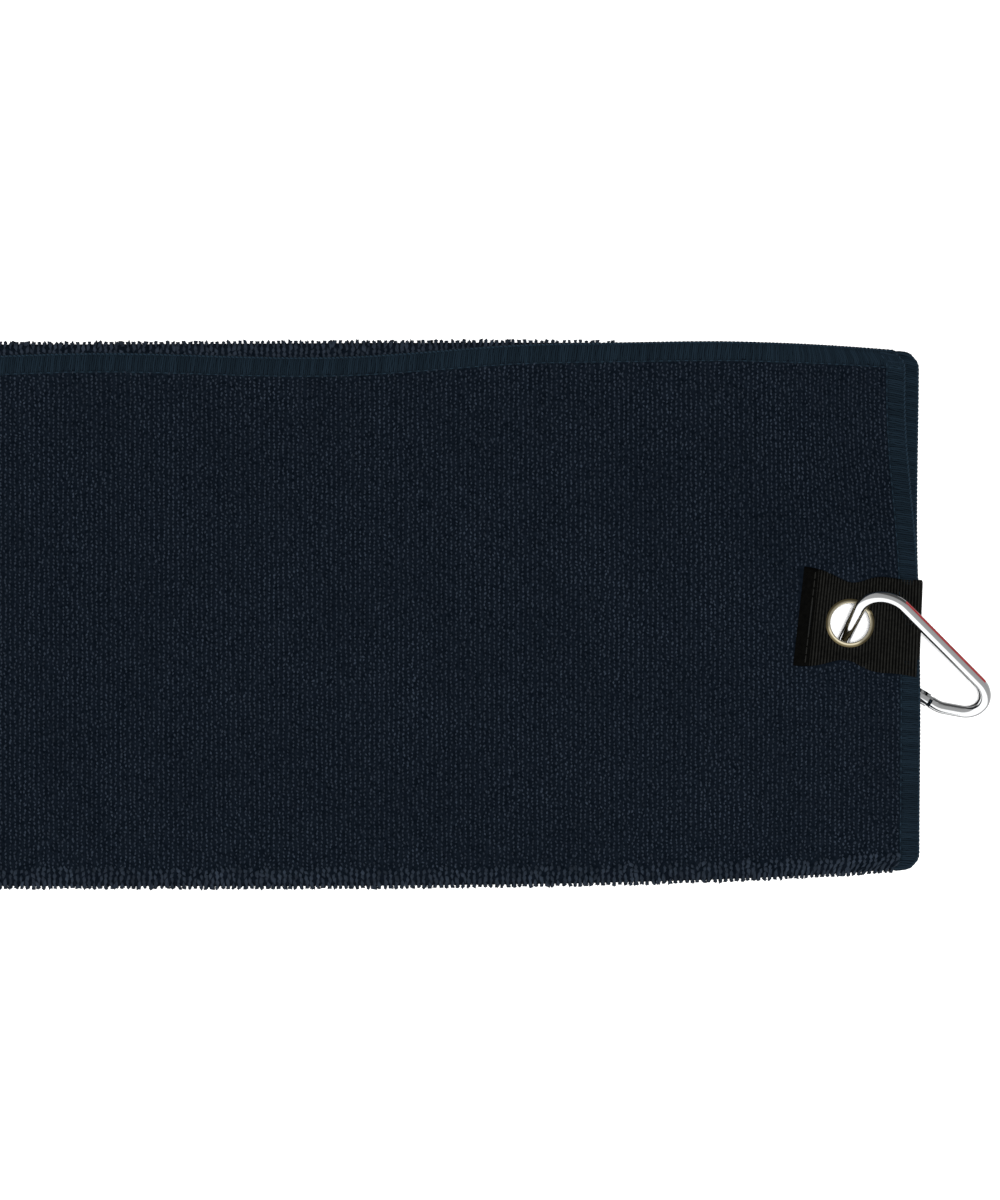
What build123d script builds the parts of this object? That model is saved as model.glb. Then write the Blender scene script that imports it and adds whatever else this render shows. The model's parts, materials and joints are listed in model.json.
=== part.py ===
from build123d import *
from math import cos, radians, sin
import os

# Tri-fold golf towel: a terry cloth folded in three along its length, with overlocked edges, a
# ribbon tab wrapped round the middle of one short end, a metal eyelet through the tab and all
# three layers, and a small snap carabiner that passes through the eyelet and round the edge.
# Millimetres. +X runs along the towel to the eyelet end, +Z is up, and the origin is the middle of
# the whole object's box, on the surface that it lies on. The parts are drawn about the eyelet's
# centre and moved to that origin at the end.

# Towel
TOWEL_LENGTH = 610.0
FOLDED_WIDTH = 136.0
LAYER = 1.65
LAYER_GAP = 0.2
LAYER_PITCH = LAYER + LAYER_GAP
STACK_HALF = LAYER_PITCH + LAYER / 2
HEM_WIDTH = 4.2
TOP_FLAP_SETBACK = 2.2
INNER_FLAP_EDGE_Y = -62.5
EYELET_TO_EDGE = 17.2
EYELET_OFF_CENTRE = -2.0

# The eyelet end is lifted by the carabiner that lies under it.
RAISED_FLAT = 20.0
RAMP_LENGTH = 62.0

# Ribbon tab
RIBBON_WIDTH = 25.4
RIBBON = 0.4
RIBBON_TOP = STACK_HALF + 0.12
RIBBON_BACK = 13.5
DISH_FLOOR = 0.75
DISH_FLOOR_RADIUS = 7.2
DISH_RIM_RADIUS = 10.6
DISH_EDGE_RADIUS = 11.0
STITCH_LENGTH = 2.2
STITCH_RADIUS = 0.2
STITCH_ROW_INSET = 2.2
STITCHES_PER_ROW = 9

# Eyelet
EYELET_BORE = 4.95
EYELET_BARREL = 5.25
EYELET_FLANGE = 6.05
EYELET_CROWN = 1.6
EYELET_RIM = 0.25
EYELET_SKIRT = 0.12
EYELET_LIP = 5.85
WASHER = 0.3
LIP = 0.15

# Carabiner: its flat loop leans across the eyelet, with the spine above the towel and the gate below.
WIRE = 1.5
LEAN = 36.0
AZIMUTH = -23.4
SPINE_TOP = (0.8, 15.9)
SPINE_FOOT = (48.7, -7.3)
LATCH_BEND = (29.3, -12.85)
HINGE_BEND = (0.4, -8.2)
SPINE_TOP_RADIUS = 7.0
SPINE_FOOT_RADIUS = 5.6
LATCH_BEND_RADIUS = 6.0
LATCH_ROUNDING = 0.06
HINGE_BEND_RADIUS = 3.8
SHOULDER = 2.15
PIVOT = 5.8
GATE_RADIUS = 1.7
GATE_NOSE = 20.0
FRAME_NOSE = 20.95
HEEL_RADIUS = 1.95
CHEEK_SLOT = 1.5
TONGUE = 1.3
TONGUE_HALF = 1.2
TONGUE_NECK = 0.3
HEEL_SLOT_DEPTH = 1.9
NOSE_SLOT_FLOOR = 16.7
NOSE_TONGUE_TIP = 17.3
LATCH_PIN_AT = 18.6
LATCH_PIN_RADIUS = 0.45
LATCH_NOTCH = 1.1
PIVOT_PIN_RADIUS = 0.55
PIVOT_CLEARANCE = 0.05
PIN_HALF = 1.6
SPRING_BORE = 0.95
SPRING_BORE_END = 11.0
PLUNGER_RADIUS = 0.8
PLUNGER_TIP = 1.25
PLUNGER_END = 3.9
PLUNGER_TRAVEL = 0.3
SPRING_COIL = 0.62
SPRING_WIRE = 0.13
SPRING_TURNS = 9
STRIPE_MIDDLE = 24.8
STRIPE_LENGTH = 29.4
STRIPE_WIDTH = 1.0
STRIPE_DEPTH = 0.2

LOOP = Plane(
    origin=(0, 0, 0),
    x_dir=(cos(radians(AZIMUTH)), sin(radians(AZIMUTH)), 0),
    z_dir=(
        sin(radians(AZIMUTH)) * sin(radians(LEAN)),
        -cos(radians(AZIMUTH)) * sin(radians(LEAN)),
        cos(radians(LEAN)),
    ),
)

# The latch bend hangs lowest, so it sets how far the eyelet stands off the surface below. Its
# corner is rounded, and the wire's middle line stays a little inside it.
EYELET_HEIGHT = WIRE - (LATCH_BEND[1] + LATCH_ROUNDING) * sin(radians(LEAN))


def half_ring(y, z, middle, towards):
    """The section of one fold: half a ring round (y, z), one layer thick."""
    ring = Circle(middle + LAYER / 2) - Circle(middle - LAYER / 2)
    half = Pos(towards * middle * 2, 0) * Rectangle(middle * 4, middle * 4)
    return Pos(y, z) * (ring & half)


def span(y_from, y_to, z):
    """The section of one flat layer."""
    return Pos((y_from + y_to) / 2, z) * Rectangle(y_to - y_from, LAYER)


def folded_section(top_edge, inner_edge):
    """The cloth's section across the towel: the middle panel below, one flap folded in over it and
    the other flap on top, up to the two flaps' free edges."""
    left = -(FOLDED_WIDTH / 2 - STACK_HALF)
    right = FOLDED_WIDTH / 2 - LAYER_PITCH / 2 - LAYER / 2
    return (
        span(left, right, -LAYER_PITCH)
        + span(inner_edge, right, 0)
        + span(left, top_edge, LAYER_PITCH)
        + half_ring(left, 0, LAYER_PITCH, -1)
        + half_ring(right, -LAYER_PITCH / 2, LAYER_PITCH / 2, 1)
    )


def towel_path():
    """The middle of the stack along the towel: flat, up a gentle ramp, and flat under the eyelet."""
    low = -(EYELET_HEIGHT - STACK_HALF)
    start = Vector(EYELET_TO_EDGE - TOWEL_LENGTH + HEM_WIDTH, 0, low)
    foot = Vector(-RAISED_FLAT - RAMP_LENGTH, 0, low)
    middle = Vector(-RAISED_FLAT - RAMP_LENGTH / 2, 0, low / 2)
    head = Vector(-RAISED_FLAT, 0, 0)
    end = Vector(EYELET_TO_EDGE - HEM_WIDTH, 0, 0)
    rise = TangentArc(foot, middle, tangent=(1, 0, 0))
    level = TangentArc(middle, head, tangent=rise % 1)
    return Line(start, foot) + rise + level + Line(head, end)


def across(path, section):
    """A section that is drawn round the middle of the stack, swept along the towel."""
    start = Plane(path @ 0, x_dir=(0, 1, 0), z_dir=(1, 0, 0))
    return sweep(start * section, path=path)


def end_seam(path, at_start, section):
    """The overlocked seam on one short end, folded with the cloth."""
    place = path @ (0 if at_start else 1)
    plane = Plane(place, x_dir=(0, 1, 0), z_dir=(1, 0, 0))
    return extrude(plane * section, amount=-HEM_WIDTH if at_start else HEM_WIDTH)


def turned(*points):
    """A closed outline of (radius, height) points, turned about the eyelet's axis."""
    outline = make_face(Polyline(*[(r, 0, z) for r, z in points], close=True))
    return revolve(outline, axis=Axis.Z)


def dish(bottom_too=True):
    """The ribbon where it sinks round the eyelet, on the top side and then mirrored below."""
    top = turned(
        (EYELET_BARREL, DISH_FLOOR),
        (DISH_FLOOR_RADIUS, DISH_FLOOR),
        (DISH_RIM_RADIUS, RIBBON_TOP - RIBBON),
        (DISH_EDGE_RADIUS, RIBBON_TOP - RIBBON),
        (DISH_EDGE_RADIUS, RIBBON_TOP),
        (DISH_RIM_RADIUS - RIBBON / 4, RIBBON_TOP),
        (DISH_FLOOR_RADIUS - RIBBON / 4, DISH_FLOOR + RIBBON),
        (EYELET_BARREL, DISH_FLOOR + RIBBON),
    )
    return top, mirror(top, about=Plane.XY)


def dish_space():
    """What the two dishes and the eyelet's barrel take out of the cloth."""
    above = turned(
        (0, DISH_FLOOR),
        (DISH_FLOOR_RADIUS, DISH_FLOOR),
        (DISH_RIM_RADIUS, RIBBON_TOP - RIBBON),
        (DISH_EDGE_RADIUS, RIBBON_TOP - RIBBON),
        (DISH_EDGE_RADIUS, STACK_HALF + 1),
        (0, STACK_HALF + 1),
    )
    return above + mirror(above, about=Plane.XY) + Cylinder(EYELET_BARREL, 4 * STACK_HALF)


def ribbon_strap():
    """The ribbon folded over the towel's end, before it is dished: two legs and the bight."""
    reach = RIBBON_BACK + EYELET_TO_EDGE + RIBBON
    middle = (EYELET_TO_EDGE + RIBBON - RIBBON_BACK) / 2
    outside = Pos(middle, 0, 0) * Box(reach, RIBBON_WIDTH, 2 * RIBBON_TOP)
    inside = Pos(middle - RIBBON, 0, 0) * Box(reach, RIBBON_WIDTH, 2 * (RIBBON_TOP - RIBBON))
    return outside - inside


def ribbon_tab():
    top, bottom = dish()
    return ribbon_strap() - Cylinder(DISH_EDGE_RADIUS, 4 * STACK_HALF) + top + bottom


def ribbon_stitches():
    """A row of thread across each leg, near the ribbon's free end."""
    thread = Rot(90, 0, 0) * Cylinder(STITCH_RADIUS, STITCH_LENGTH)
    upper_half = thread & Pos(0, 0, 1) * Box(2, 2 * STITCH_LENGTH, 2)
    pitch = RIBBON_WIDTH / (STITCHES_PER_ROW + 0.5)
    stitches = []
    for side in (1, -1):
        flip = Rot(0, 0, 0) if side == 1 else Rot(180, 0, 0)
        for n in range(STITCHES_PER_ROW):
            y = (n - (STITCHES_PER_ROW - 1) / 2) * pitch
            place = Pos(STITCH_ROW_INSET - RIBBON_BACK, y, side * RIBBON_TOP)
            stitches.append(place * flip * upper_half)
    return Compound(children=stitches)


def grommet():
    """The eyelet: a rounded rim with a sloping skirt, a barrel through the stack, and a lip rolled
    over the washer."""
    seat = DISH_FLOOR + RIBBON
    lip_top = -(seat + WASHER)
    rim_r, rim_z = EYELET_BORE + EYELET_RIM, EYELET_CROWN - EYELET_RIM
    shoulder = EYELET_RIM * sin(radians(45))
    rim = ThreePointArc(
        (EYELET_BORE, 0, rim_z), (rim_r - shoulder, 0, rim_z + shoulder), (rim_r, 0, EYELET_CROWN)
    )
    rest = Polyline(
        (rim_r, 0, EYELET_CROWN),
        (EYELET_FLANGE, 0, seat + EYELET_SKIRT),
        (EYELET_FLANGE, 0, seat),
        (EYELET_BARREL, 0, seat),
        (EYELET_BARREL, 0, lip_top),
        (EYELET_LIP, 0, lip_top),
        (EYELET_LIP - LIP, 0, lip_top - LIP),
        (EYELET_BORE + LIP, 0, lip_top - LIP),
        (EYELET_BORE, 0, lip_top),
        (EYELET_BORE, 0, rim_z),
    )
    return revolve(make_face(rim + rest), axis=Axis.Z)


def grommet_washer():
    seat = DISH_FLOOR + RIBBON
    return turned(
        (EYELET_BARREL, -seat),
        (EYELET_FLANGE, -seat),
        (EYELET_FLANGE, -seat - WASHER / 2),
        (EYELET_FLANGE - WASHER / 2, -seat - WASHER),
        (EYELET_BARREL, -seat - WASHER),
    )


def gate_plane():
    """At the gate's pivot: X runs along the gate to its nose, Y to the inside of the loop."""
    along = (Vector(*LATCH_BEND) - Vector(*HINGE_BEND)).normalized()
    origin = Vector(*HINGE_BEND) + along * PIVOT
    local = Plane(origin=(origin.X, origin.Y, 0), x_dir=(along.X, along.Y, 0), z_dir=(0, 0, 1))
    return LOOP * local.location


def wire_path():
    """The frame's middle line in the loop's plane, from the hinge shoulder round to the nose."""
    along = (Vector(*LATCH_BEND) - Vector(*HINGE_BEND)).normalized()
    hinge_end = Vector(*HINGE_BEND) + along * (PIVOT - SHOULDER)
    nose_end = Vector(*HINGE_BEND) + along * (PIVOT + FRAME_NOSE)
    return FilletPolyline(
        (hinge_end.X, hinge_end.Y),
        HINGE_BEND,
        SPINE_TOP,
        SPINE_FOOT,
        LATCH_BEND,
        (nose_end.X, nose_end.Y),
        radius=[HINGE_BEND_RADIUS, SPINE_TOP_RADIUS, SPINE_FOOT_RADIUS, LATCH_BEND_RADIUS],
    )


def rod(radius, x_from, x_to):
    """A round bar along X."""
    return Pos((x_from + x_to) / 2, 0, 0) * Rot(0, 90, 0) * Cylinder(radius, x_to - x_from)


def bar(x_from, x_to, y_from, y_to, thick):
    """A square bar, centred on the loop's plane."""
    place = Pos((x_from + x_to) / 2, (y_from + y_to) / 2, 0)
    return place * Box(x_to - x_from, y_to - y_from, thick)


def stripe_groove():
    """The shallow groove along the spine, on the loop's outer side."""
    foot, top = Vector(*SPINE_FOOT), Vector(*SPINE_TOP)
    along = (foot - top).normalized()
    middle = top + along * STRIPE_MIDDLE
    local = Plane(origin=(middle.X, middle.Y, 0), x_dir=(along.X, along.Y, 0), z_dir=(0, 0, 1))
    groove = Pos(0, WIRE, 0) * Box(STRIPE_LENGTH, 2 * STRIPE_DEPTH, STRIPE_WIDTH)
    return LOOP.location * local.location * groove


def carabiner_wire():
    path = wire_path()
    start = Plane(path @ 0, z_dir=path % 0)
    return LOOP.location * sweep(start * Circle(WIRE), path=path)


def carabiner_frame():
    """The bent wire, with a flat tongue at each end that fits into the gate's slots."""
    tongue = bar(-SHOULDER - TONGUE_NECK, TONGUE_HALF, -TONGUE_HALF, TONGUE_HALF, TONGUE)
    hook = bar(NOSE_TONGUE_TIP, FRAME_NOSE + TONGUE_NECK, -TONGUE_HALF, TONGUE_HALF, TONGUE)
    notch = Pos(LATCH_PIN_AT, 0, 0) * Cylinder(LATCH_NOTCH / 2, 2 * TONGUE)
    half_notch = LATCH_NOTCH / 2
    notch += bar(LATCH_PIN_AT - half_notch, LATCH_PIN_AT + half_notch, 0, 2, 2 * TONGUE)
    hole = Cylinder(PIVOT_PIN_RADIUS + PIVOT_CLEARANCE, 2 * TONGUE)
    at_gate = gate_plane()
    frame = carabiner_wire() - stripe_groove()
    return frame + at_gate * tongue + at_gate * hook - at_gate * notch - at_gate * hole


def spine_stripe():
    """Enamel that fills the groove, flush with the wire."""
    return stripe_groove() & carabiner_wire()


def gate_sleeve():
    """A round bar, slotted at both ends for the frame's tongues and bored for the spring."""
    sleeve = rod(GATE_RADIUS, -HEEL_RADIUS, GATE_NOSE)
    heel_trim = bar(-HEEL_RADIUS - 1, 0, -3, 3, 6) - Cylinder(HEEL_RADIUS, 6)
    slots = bar(-3, HEEL_SLOT_DEPTH, -3, 3, CHEEK_SLOT) + bar(
        NOSE_SLOT_FLOOR, GATE_NOSE + 1, -3, 3, CHEEK_SLOT
    )
    bore = rod(SPRING_BORE, 0, SPRING_BORE_END)
    pins = Cylinder(PIVOT_PIN_RADIUS, 6) + Pos(LATCH_PIN_AT, 0, 0) * Cylinder(LATCH_PIN_RADIUS, 6)
    return gate_plane() * (sleeve - heel_trim - slots - bore - pins)


def gate_pivot_pin():
    return gate_plane() * Cylinder(PIVOT_PIN_RADIUS, 2 * PIN_HALF)


def gate_latch_pin():
    return gate_plane() * Pos(LATCH_PIN_AT, 0, 0) * Cylinder(LATCH_PIN_RADIUS, 2 * PIN_HALF)


def gate_plunger():
    return gate_plane() * chamfer(
        rod(PLUNGER_RADIUS, PLUNGER_TIP, PLUNGER_END).edges().sort_by(Axis.X)[0], 0.2
    )


def gate_spring():
    """A compression spring between the plunger and the end of the gate's bore."""
    length = SPRING_BORE_END - PLUNGER_END - PLUNGER_TRAVEL - 2.5 * SPRING_WIRE
    coil = Helix(pitch=length / SPRING_TURNS, height=length, radius=SPRING_COIL)
    start = Plane(coil @ 0, z_dir=coil % 0)
    wire = sweep(start * Circle(SPRING_WIRE), path=coil, is_frenet=True)
    first_turn = PLUNGER_END + PLUNGER_TRAVEL + 1.25 * SPRING_WIRE
    return gate_plane() * Pos(first_turn, 0, 0) * Rot(0, 90, 0) * wire


def towel_parts():
    """The cloth, its four seams, the tab and the eyelet, about the eyelet's centre."""
    middle = Pos(0, -EYELET_OFF_CENTRE, 0)
    path = towel_path()
    top_edge = FOLDED_WIDTH / 2 - TOP_FLAP_SETBACK
    whole = folded_section(top_edge, INNER_FLAP_EDGE_Y)
    inner = INNER_FLAP_EDGE_Y + HEM_WIDTH
    cloth = folded_section(top_edge - HEM_WIDTH, inner)
    ribbon = ribbon_tab()
    taken = dish_space() + ribbon_strap()
    return {
        "towel_cloth": middle * across(path, cloth) - taken,
        "overlock_top_flap": middle
        * across(path, span(top_edge - HEM_WIDTH, top_edge, LAYER_PITCH)),
        "overlock_inner_flap": middle * across(path, span(INNER_FLAP_EDGE_Y, inner, 0)),
        "overlock_clip_end": middle * end_seam(path, False, whole) - taken,
        "overlock_plain_end": middle * end_seam(path, True, whole),
        "ribbon_tab": ribbon,
        "ribbon_stitches": ribbon_stitches(),
        "grommet": grommet(),
        "grommet_washer": grommet_washer(),
    }


def carabiner_parts():
    return {
        "carabiner_frame": carabiner_frame(),
        "spine_stripe": spine_stripe(),
        "gate_sleeve": gate_sleeve(),
        "gate_pivot_pin": gate_pivot_pin(),
        "gate_latch_pin": gate_latch_pin(),
        "gate_plunger": gate_plunger(),
        "gate_spring": gate_spring(),
    }


def main():
    parts = {**towel_parts(), **carabiner_parts()}
    boxes = [shape.bounding_box() for shape in parts.values()]
    low = Vector(*[min(getattr(b.min, k) for b in boxes) for k in "XYZ"])
    high = Vector(*[max(getattr(b.max, k) for b in boxes) for k in "XYZ"])
    to_origin = Pos(-(low.X + high.X) / 2, -(low.Y + high.Y) / 2, -low.Z)
    os.makedirs("parts", exist_ok=True)
    for name, shape in parts.items():
        export_step(to_origin * shape, f"parts/{name}.step")
    return parts, to_origin


def print_joints(to_origin):
    """The joints' places and axes in the row's frame, in metres."""
    eyelet = to_origin.position / 1000
    pivot = Plane(to_origin * gate_plane())
    spots = {
        "eyelet centre": eyelet,
        "roll axis": LOOP.x_dir,
        "gate pivot": pivot.origin / 1000,
        "gate pivot axis": pivot.z_dir,
        "along the gate": pivot.x_dir,
    }
    for name, place in spots.items():
        print(name, [round(value, 6) for value in place])


if __name__ == "__main__":
    print_joints(main()[1])
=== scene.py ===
import json
import math

import bpy
import numpy as np
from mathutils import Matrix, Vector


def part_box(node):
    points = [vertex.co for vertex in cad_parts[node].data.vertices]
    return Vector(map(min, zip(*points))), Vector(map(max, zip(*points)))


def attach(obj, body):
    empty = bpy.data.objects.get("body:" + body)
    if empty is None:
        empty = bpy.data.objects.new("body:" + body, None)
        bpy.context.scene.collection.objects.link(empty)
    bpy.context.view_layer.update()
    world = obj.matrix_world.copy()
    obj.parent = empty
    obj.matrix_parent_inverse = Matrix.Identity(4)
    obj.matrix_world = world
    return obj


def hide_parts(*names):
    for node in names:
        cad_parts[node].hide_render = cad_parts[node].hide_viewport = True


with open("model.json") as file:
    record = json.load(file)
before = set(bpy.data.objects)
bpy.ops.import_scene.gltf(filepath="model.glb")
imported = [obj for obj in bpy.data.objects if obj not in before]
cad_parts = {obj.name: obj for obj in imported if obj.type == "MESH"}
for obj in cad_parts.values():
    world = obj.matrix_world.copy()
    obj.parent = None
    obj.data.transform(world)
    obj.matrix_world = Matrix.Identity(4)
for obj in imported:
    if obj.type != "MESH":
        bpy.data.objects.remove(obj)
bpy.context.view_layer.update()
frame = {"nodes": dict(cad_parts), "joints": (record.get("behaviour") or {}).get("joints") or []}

# The towel's looks: the folded terry with its loops of yarn, the overlocked edges, the ribbon tab
# and the metal. Everything is worked out in millimetres, in the CAD frame, and becomes metres when
# a mesh is made. The cloth is described by x along the towel, s along its folded section from the
# top flap's free edge, and n out of the cloth's outer face.
MM = 0.001
SEED = 7
UP = np.array((0.0, 0.0, 1.0))
FLOOR_GAP = 0.02

# Places that come from the CAD
JOINTS = {joint["name"]: joint for joint in frame["joints"]}
EYE = np.array(JOINTS["carabiner_roll"]["pos_m"]) / MM
CLIP_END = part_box("overlock_clip_end")[1].x / MM
PLAIN_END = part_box("overlock_plain_end")[0].x / MM
HALF_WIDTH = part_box("overlock_plain_end")[1].y / MM
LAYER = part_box("overlock_plain_end")[1].z / MM / 3
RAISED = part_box("overlock_clip_end")[0].z / MM
GROMMET_RADIUS = (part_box("grommet")[1].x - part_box("grommet")[0].x) / MM / 2

# Cloth
GROUND_HALF = 0.5
HEM_GROUND_HALF = 0.33
HEM = 4.2
GROUND_INSET = 0.25
COARSE = 2.6
COARSE_ALONG = 3.2
FINE = 1.1
FINE_REACH = 14
FOLD_OUTSIDE = 0.9
INNER_EDGE_Y = -62.5
FREE_EDGE_Y = 65.8
HOLE_RADIUS = 5.4
UNEVEN = 0.12
UNEVEN_SIZE = 38

# The hump over the carabiner, measured from the eyelet: how far it stays full, and how far it then
# takes to fall away
HUMP_BACK = (17.0, 68.0)
HUMP_NEAR = (15.0, 44.0)
HUMP_FAR = (13.0, 38.0)
HUMP_RIPPLE = 0.02

# How the eyelet presses the cloth together: the share of its thickness left, out to a radius, and
# the width over which it recovers
SQUEEZED = 0.3
SQUEEZE_RADIUS = 7.0
SQUEEZE_FADE = 4.2

# The clip end. For this far back its outline is shaped by the end; CREEP is how far the top layer
# stays back at the far corner, CORNER and CORNER_SPAN the corners' rounding, HOLLOW the slight
# hollow in the edge.
END_REACH = 45
CREEP = 3.4
CORNER = 2.2
CORNER_SPAN = 5
HOLLOW = 0.7

# The top flap's free edge: how far it stays behind the fold below it at the clip end, how much
# more it does so farther back, and how it sways
SETBACK = 0.3
SETBACK_MORE = 3.6
SETBACK_RUN = 105
SWAY = 0.65
SWAY_LENGTH = 106
SWAY_FROM = 152
SWAY_RUN = 60

# Loops of yarn
COLUMN_PITCH = 1.2
LOOP_PITCH = 0.9
FOLD_COLUMN_PITCH = 1.4
FOLD_LOOP_PITCH = 1.1
UNDER_COLUMN_PITCH = 1.9
UNDER_LOOP_PITCH = 1.55
PLACE_JITTER = 0.11
LOOP_ROOT = 0.3
LOOPS_PER_PIECE = 10500
# Loops by where they grow: their size, their height and how far they turn either way, in radians
TOP_LOOP = (1.0, 1.0, 0.4)
FOLD_LOOP = (1.9, 1.35, 0.35)
UNDER_LOOP = (1.7, 1.4, 0.3)
TONE_LIMITS = (-1.5, -0.55, 0.55, 1.5)
TAB_CLEAR = 0.2
# Width of the bare strip beside the flap's edge, where the dark ground is a painted shadow
PAINTED_SHADOW_STRIP = 0.7
UNDER_FLAP = 20

# Overlock
STITCH_PITCH = 2.1
STRANDS = 4
THREAD = 0.28
THREAD_LIFT = 0.5
PURL_THREAD = 0.26
NEEDLE_THREAD = 0.17
NEEDLE_LINE = 4.15

# Ribbon tab
RIBBON = 0.4
RIBBON_BACK = -12.9
RIBBON_HALF = 12.1
RIBBON_WAIST = 2.4
RIB_PITCH = 0.76
RIB_DEPTH = 0.17
RIBBON_OUT = 2.795
RIBBON_SEAT = 1.15
DISH_RADIUS = 6.8
DISH_FADE = 4.6
BAND = 3.6
BAND_THICKER = 0.22
SLANT_BACK = 0.115
SLANT_FRONT = 0.04
SLANT_RUN = 30.0
CREASE = 0.12
TAB_STITCHES = 11
TAB_STITCH_INSET = 2.9
TAB_STITCH_HALF = 0.42
TAB_THREAD = 0.17

# Eyelet: heights above its middle between which painted shade turns to a painted crest highlight
CREST_FROM = 1.40
CREST_FULL = 1.55

# Camera: straight down over the clip end; VIEW_HEIGHT is what it sees from top to bottom, in metres
VIEW_HEIGHT = 0.300
CAMERA_UP = 2.4
SENSOR = 36.0
VIEW_CENTRE = (EYE[0] - 87.5, EYE[1] + 5.75)

# The floor, in metres: its side, and how far it lies under the object so that they don't flicker
FLOOR_SIZE = 16.0
FLOOR_DROP = 0.00002

# Light: grey levels from one side of the studio to the other, as (place from 0 to 1, level), along
# the given direction. The lower shades begin between the two heights, of a unit direction's z.
SKY_STRENGTH = 1.2
SKY_SIDE = (0.42, 0.91, 0.0)
SKY_SHADES = [(0.0, 1.0), (0.26, 1.0), (0.33, 0.32), (0.82, 0.28), (0.88, 0.06), (1.0, 0.06)]
GROUND_SIDE = (1.0, 0.0, 0.0)
GROUND_SHADES = [(0.0, 0.01), (0.30, 0.02), (0.38, 0.3), (1.0, 0.4)]
GROUND_BELOW = (-0.42, -0.30)
OVERHEAD_POWER = 4.4
OVERHEAD_WIDTH = 9.0


def ease(t):
    """0 below 0, 1 above 1, and a smooth step between."""
    t = np.clip(t, 0.0, 1.0)
    return t * t * (3 - 2 * t)


def cloud(x, y, size, seed):
    """Soft patches from about -1 to 1, some size millimetres across."""
    draw = np.random.default_rng(seed)
    total = np.zeros(np.broadcast(x, y).shape)
    waves = 7
    for _ in range(waves):
        heading = draw.uniform(0, 2 * math.pi)
        length = size * draw.uniform(0.6, 1.7)
        phase = draw.uniform(0, 2 * math.pi)
        along = x * math.cos(heading) + y * math.sin(heading)
        total += np.sin(2 * math.pi * along / length + phase)
    return total / math.sqrt(waves)


# ---------------------------------------------------------------- the folded cloth's shape

OUTER_FOLD = LAYER
INNER_FOLD = LAYER / 2
FOLD_LEFT = HALF_WIDTH - OUTER_FOLD - FOLD_OUTSIDE
FOLD_RIGHT = HALF_WIDTH - INNER_FOLD - FOLD_OUTSIDE
TOP_LENGTH = FREE_EDGE_Y + FOLD_LEFT
OUTER_FOLD_LENGTH = math.pi * OUTER_FOLD
UNDER_LENGTH = FOLD_LEFT + FOLD_RIGHT
INNER_FOLD_LENGTH = math.pi * INNER_FOLD
INNER_LENGTH = FOLD_RIGHT - INNER_EDGE_Y
S_FOLD = TOP_LENGTH
S_UNDER = S_FOLD + OUTER_FOLD_LENGTH
S_SMALL_FOLD = S_UNDER + UNDER_LENGTH
S_INNER = S_SMALL_FOLD + INNER_FOLD_LENGTH
S_END = S_INNER + INNER_LENGTH


def section(s):
    """The folded section's middle line: y, height above the cloth's underside, and the way out."""
    s = np.asarray(s, float)
    outer = math.pi / 2 + np.clip((s - S_FOLD) / OUTER_FOLD_LENGTH, 0, 1) * math.pi
    inner = -math.pi / 2 + np.clip((s - S_SMALL_FOLD) / INNER_FOLD_LENGTH, 0, 1) * math.pi
    stretches = [s < S_FOLD, s < S_UNDER, s < S_SMALL_FOLD, s < S_INNER]
    y = np.select(
        stretches,
        [
            FREE_EDGE_Y - s,
            -FOLD_LEFT + OUTER_FOLD * np.cos(outer),
            -FOLD_LEFT + (s - S_UNDER),
            FOLD_RIGHT + INNER_FOLD * np.cos(inner),
        ],
        FOLD_RIGHT - (s - S_INNER),
    )
    height = np.select(
        stretches,
        [
            np.full(s.shape, 2.5 * LAYER),
            1.5 * LAYER + OUTER_FOLD * np.sin(outer),
            np.full(s.shape, 0.5 * LAYER),
            LAYER + INNER_FOLD * np.sin(inner),
        ],
        1.5 * LAYER,
    )
    zero = np.zeros(s.shape)
    out_y = np.select(stretches, [zero, np.cos(outer), zero, np.cos(inner)], 0.0)
    out_z = np.select(stretches, [zero + 1, np.sin(outer), zero - 1, np.sin(inner)], 1.0)
    return y, height, out_y, out_z


def free_edge_setback(back):
    """How far the top flap's free edge stays behind the fold below it, from the clip end back."""
    wave = np.cos(2 * math.pi * (back - SWAY_FROM) / SWAY_LENGTH)
    sway = SWAY * wave * ease((back - END_REACH) / SWAY_RUN)
    return SETBACK + SETBACK_MORE * ease((back - END_REACH) / SETBACK_RUN) + sway


def lift(x, y):
    """How far the cloth's underside is raised: a low hump over the carabiner, soft at its sides."""
    rise = ease(1 - (EYE[0] - HUMP_BACK[0] - x) / HUMP_BACK[1])
    near_side = ease(1 - (EYE[1] - HUMP_NEAR[0] - y) / HUMP_NEAR[1])
    far_side = ease(1 - (y - EYE[1] - HUMP_FAR[0]) / HUMP_FAR[1])
    ripple = 1 + HUMP_RIPPLE * np.sin(y / 7.0)
    return RAISED * rise * near_side * far_side * ripple


def squeeze(x, y):
    """How much the eyelet presses the cloth together, round its middle."""
    away = np.hypot(x - EYE[0], y - EYE[1])
    return SQUEEZED + (1 - SQUEEZED) * ease((away - SQUEEZE_RADIUS) / SQUEEZE_FADE)


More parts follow.
